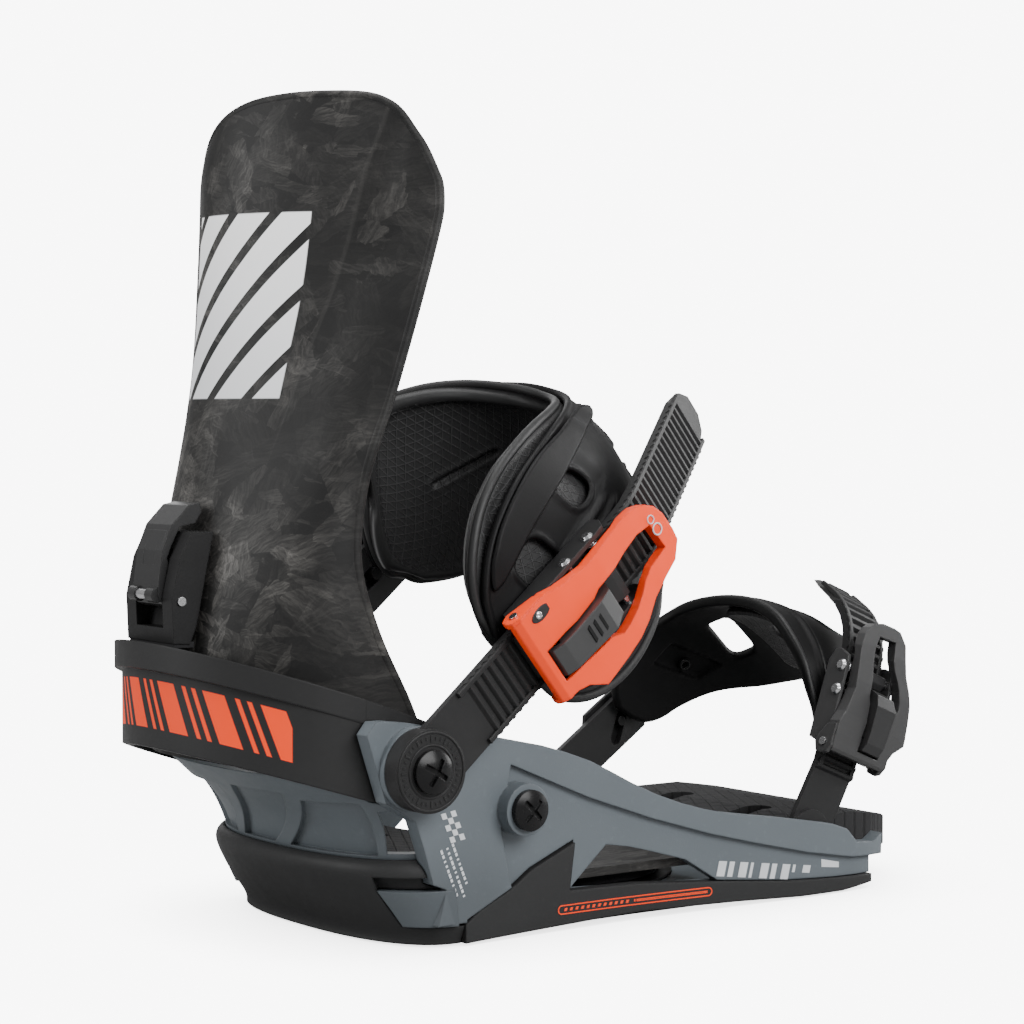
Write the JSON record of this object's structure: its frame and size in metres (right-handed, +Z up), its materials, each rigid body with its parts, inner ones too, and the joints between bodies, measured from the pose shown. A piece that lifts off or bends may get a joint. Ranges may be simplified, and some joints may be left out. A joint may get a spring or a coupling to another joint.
{
  "type": "snowboard strap binding",
  "caption": "Right-foot snowboard strap binding with folding highback, heelcup, ratchet ankle and toe straps, footbed and a round board-mounting disc.",
  "frame": {"origin": "centre of the mounting disc on the board plane", "axes": "+X towards the toe, +Y towards the inner (far) side away from the buckles, +Z up away from the board"},
  "size_m": [0.3168, 0.157, 0.2753],
  "materials": {
    "base_nylon": "matte, fine grain",
    "black_gloss": "satin gloss",
    "black_plastic": "satin",
    "black_steel": "satin",
    "bumper_foam": "matte",
    "carbon": "satin",
    "disc_nylon": "matte",
    "foam_black": "soft, matte",
    "gasket_foam": "matte",
    "heelcup_grey": "satin",
    "highback_carbon": "satin, forged-fibre flakes",
    "lever_black": "satin",
    "orange_alloy": "satin",
    "steel": "brushed",
    "strap_foam": "soft, matte"
  },
  "bodies": {
    "base": {"baseplate": "base_nylon", "side_bumper_outer": "bumper_foam", "side_bumper_inner": "bumper_foam", "heel_bumper": "bumper_foam", "toe_bumper": "bumper_foam", "base_gasket": "gasket_foam", "carbon_plate": "carbon", "disc_cover": "foam_black", "footbed_heel": "foam_black", "heel_tread_plate": "black_plastic", "toe_ramp_screws": "black_steel", "heelcup": "heelcup_grey", "heelcup_bolts": "black_steel", "heelcup_nut_plates": "steel", "ankle_mount_bolts": "black_steel", "ankle_mount_nuts": "steel", "toe_strap_bolts": "black_steel", "toe_ladder": "black_plastic", "toe_connector": "black_plastic"},
    "disc": {"mounting_disc": "disc_nylon"},
    "ramp": {"toe_ramp": "black_plastic"},
    "highback_body": {"highback": "highback_carbon", "highback_pad": "foam_black", "lean_block": "black_plastic", "lean_lever_pin": "steel", "lean_screw": "steel", "lean_nut": "steel"},
    "lean_lever_body": {"lean_lever": "black_gloss"},
    "ankle_ladder_body": {"ankle_ladder": "black_plastic"},
    "ankle_connector_body": {"ankle_connector": "black_plastic"},
    "ankle_strap": {"ankle_strap_pad": "strap_foam", "ankle_strap_frame": "black_plastic", "ankle_buckle_base": "lever_black", "ankle_buckle_rivets": "steel", "ankle_lever_pin": "steel", "ankle_pawl_spring": "steel", "ankle_adjuster": "black_plastic"},
    "ankle_lever": {"ankle_buckle_lever": "orange_alloy", "ankle_drive_pawl": "black_plastic"},
    "ankle_release": {"ankle_release_lever": "black_gloss"},
    "ankle_pawl": {"ankle_holding_pawl": "steel"},
    "toe_strap": {"toe_strap_cap": "black_plastic", "toe_cap_liner": "foam_black", "toe_buckle_base": "lever_black", "toe_buckle_rivets": "steel", "toe_lever_pin": "steel", "toe_pawl_spring": "steel", "toe_adjuster": "black_plastic"},
    "toe_lever": {"toe_buckle_lever": "lever_black", "toe_drive_pawl": "black_plastic"},
    "toe_release": {"toe_release_lever": "black_gloss"},
    "toe_pawl": {"toe_holding_pawl": "steel"}
  },
  "joints": [
    {"name": "disc_turn", "type": "hinge", "parent": "base", "child": "disc", "pos_m": [0, 0, 0], "axis": [0, 0, 1], "continuous": true},
    {"name": "ramp_slide", "type": "slide", "parent": "base", "child": "ramp", "axis": [1, 0, 0], "range_m": [0, 0.01]},
    {"name": "highback_fold", "type": "hinge", "parent": "base", "child": "highback_body", "pos_m": [-0.0984, 0, 0.0592], "axis": [0, 1, 0], "range_deg": [0, 24]},
    {"name": "lean_lever_open", "type": "hinge", "parent": "highback_body", "child": "lean_lever_body", "pos_m": [-0.1542, 0, 0.1116], "axis": [0, -1, 0], "range_deg": [0, 75]},
    {"name": "ankle_ladder_swing", "type": "hinge", "parent": "base", "child": "ankle_ladder_body", "pos_m": [-0.0984, 0, 0.0592], "axis": [0, 1, 0], "range_deg": [-20, 12]},
    {"name": "ankle_connector_swing", "type": "hinge", "parent": "base", "child": "ankle_connector_body", "pos_m": [-0.0984, 0, 0.0592], "axis": [0, 1, 0], "range_deg": [-20, 12]},
    {"name": "ankle_strap_slide", "type": "slide", "parent": "ankle_ladder_body", "child": "ankle_strap", "axis": [0.7812, 0.0599, 0.6214], "range_m": [-0.014, 0.005]},
    {"name": "ankle_lever_open", "type": "hinge", "parent": "ankle_strap", "child": "ankle_lever", "pos_m": [-0.05584, -0.07325, 0.09305], "axis": [0.6225, 0, -0.7826], "range_deg": [0, 50]},
    {"name": "ankle_release_press", "type": "hinge", "parent": "ankle_strap", "child": "ankle_release", "pos_m": [-0.0333, -0.06912, 0.11099], "axis": [-0.6225, 0, 0.7826], "range_deg": [0, 20]},
    {"name": "ankle_pawl_lift", "type": "hinge", "parent": "ankle_strap", "child": "ankle_pawl", "pos_m": [-0.02316, -0.06804, 0.11905], "axis": [-0.6225, 0, 0.7826], "range_deg": [0, 16]},
    {"name": "toe_strap_slide", "type": "slide", "parent": "base", "child": "toe_strap", "axis": [0.3743, 0.04, 0.9264], "range_m": [-0.007, 0.0025]},
    {"name": "toe_lever_open", "type": "hinge", "parent": "toe_strap", "child": "toe_lever", "pos_m": [0.0954, -0.06118, 0.04868], "axis": [0.9272, 0, -0.3746], "range_deg": [0, 50]},
    {"name": "toe_release_press", "type": "hinge", "parent": "toe_strap", "child": "toe_release", "pos_m": [0.10296, -0.05797, 0.0674], "axis": [-0.9272, 0, 0.3746], "range_deg": [0, 20]},
    {"name": "toe_pawl_lift", "type": "hinge", "parent": "toe_strap", "child": "toe_pawl", "pos_m": [0.10636, -0.05731, 0.07582], "axis": [-0.9272, 0, 0.3746], "range_deg": [0, 16]}
  ],
  "couplings": [
    {"joint": "ankle_connector_swing", "follows": "ankle_ladder_swing", "ratio": 1},
    {"joint": "ankle_pawl_lift", "follows": "ankle_release_press", "ratio": 0.8},
    {"joint": "toe_pawl_lift", "follows": "toe_release_press", "ratio": 0.8}
  ]
}
